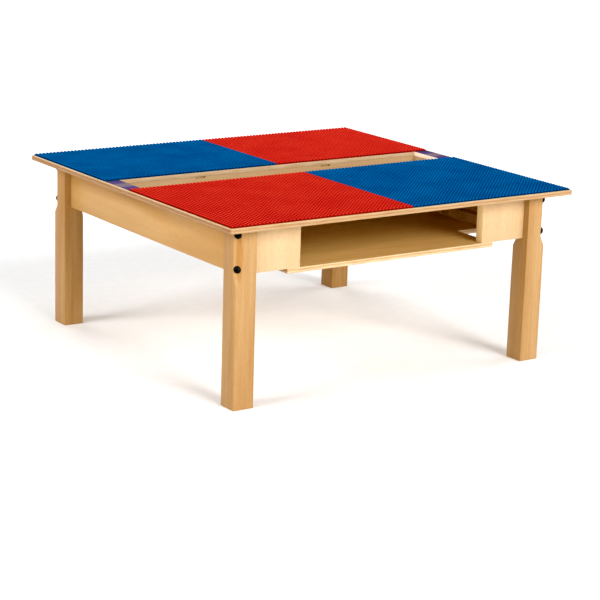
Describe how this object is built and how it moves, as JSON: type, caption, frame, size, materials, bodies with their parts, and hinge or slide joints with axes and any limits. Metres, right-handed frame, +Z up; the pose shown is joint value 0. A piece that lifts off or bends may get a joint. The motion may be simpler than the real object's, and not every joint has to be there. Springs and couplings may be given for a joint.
{
  "type": "kids table with storage",
  "caption": "Low square play table with studded red and blue building plates, a long slot into a trough, and open storage bays under the top.",
  "frame": {"origin": "on the ground under the middle of the tabletop", "axes": "+X to the right as seen from the front, +Y to the back, +Z up"},
  "size_m": [0.778, 0.76, 0.344],
  "materials": {
    "birch_plywood": "clear lacquered birch plywood with bare layered edges",
    "red_plastic": "moulded red ABS",
    "blue_plastic": "moulded blue ABS",
    "purple_label": "plain printed purple film",
    "leg_wood": "clear lacquered solid wood",
    "apron_wood": "clear lacquered solid wood",
    "trough_wood": "clear lacquered plywood",
    "block_wood": "planed solid wood",
    "black_steel": "black oxide steel",
    "zinc_steel": "zinc plated steel"
  },
  "bodies": {
    "root": {"tabletop": "birch_plywood", "plate_front_left": "red_plastic", "plate_front_right": "blue_plastic", "plate_back_left": "blue_plastic", "plate_back_right": "red_plastic", "label_left": "purple_label", "label_right": "purple_label", "leg_front_left": "leg_wood", "leg_front_right": "leg_wood", "leg_back_left": "leg_wood", "leg_back_right": "leg_wood", "side_apron_left": "apron_wood", "side_apron_right": "apron_wood", "panel_front_left": "apron_wood", "panel_front_right": "apron_wood", "panel_back_left": "apron_wood", "panel_back_right": "apron_wood", "trough_wall_front": "trough_wood", "trough_wall_back": "trough_wood", "trough_rail_left": "trough_wood", "trough_rail_right": "trough_wood", "storage_floor": "birch_plywood", "cleat_front_left": "block_wood", "cleat_front_right": "block_wood", "cleat_back_left": "block_wood", "cleat_back_right": "block_wood", "corner_block_front_left": "block_wood", "corner_block_front_right": "block_wood", "corner_block_back_left": "block_wood", "corner_block_back_right": "block_wood", "leg_bolts": "black_steel", "leg_washers": "zinc_steel", "leg_nuts": "zinc_steel", "long_screws": "zinc_steel", "short_screws": "zinc_steel"}
  },
  "joints": []
}
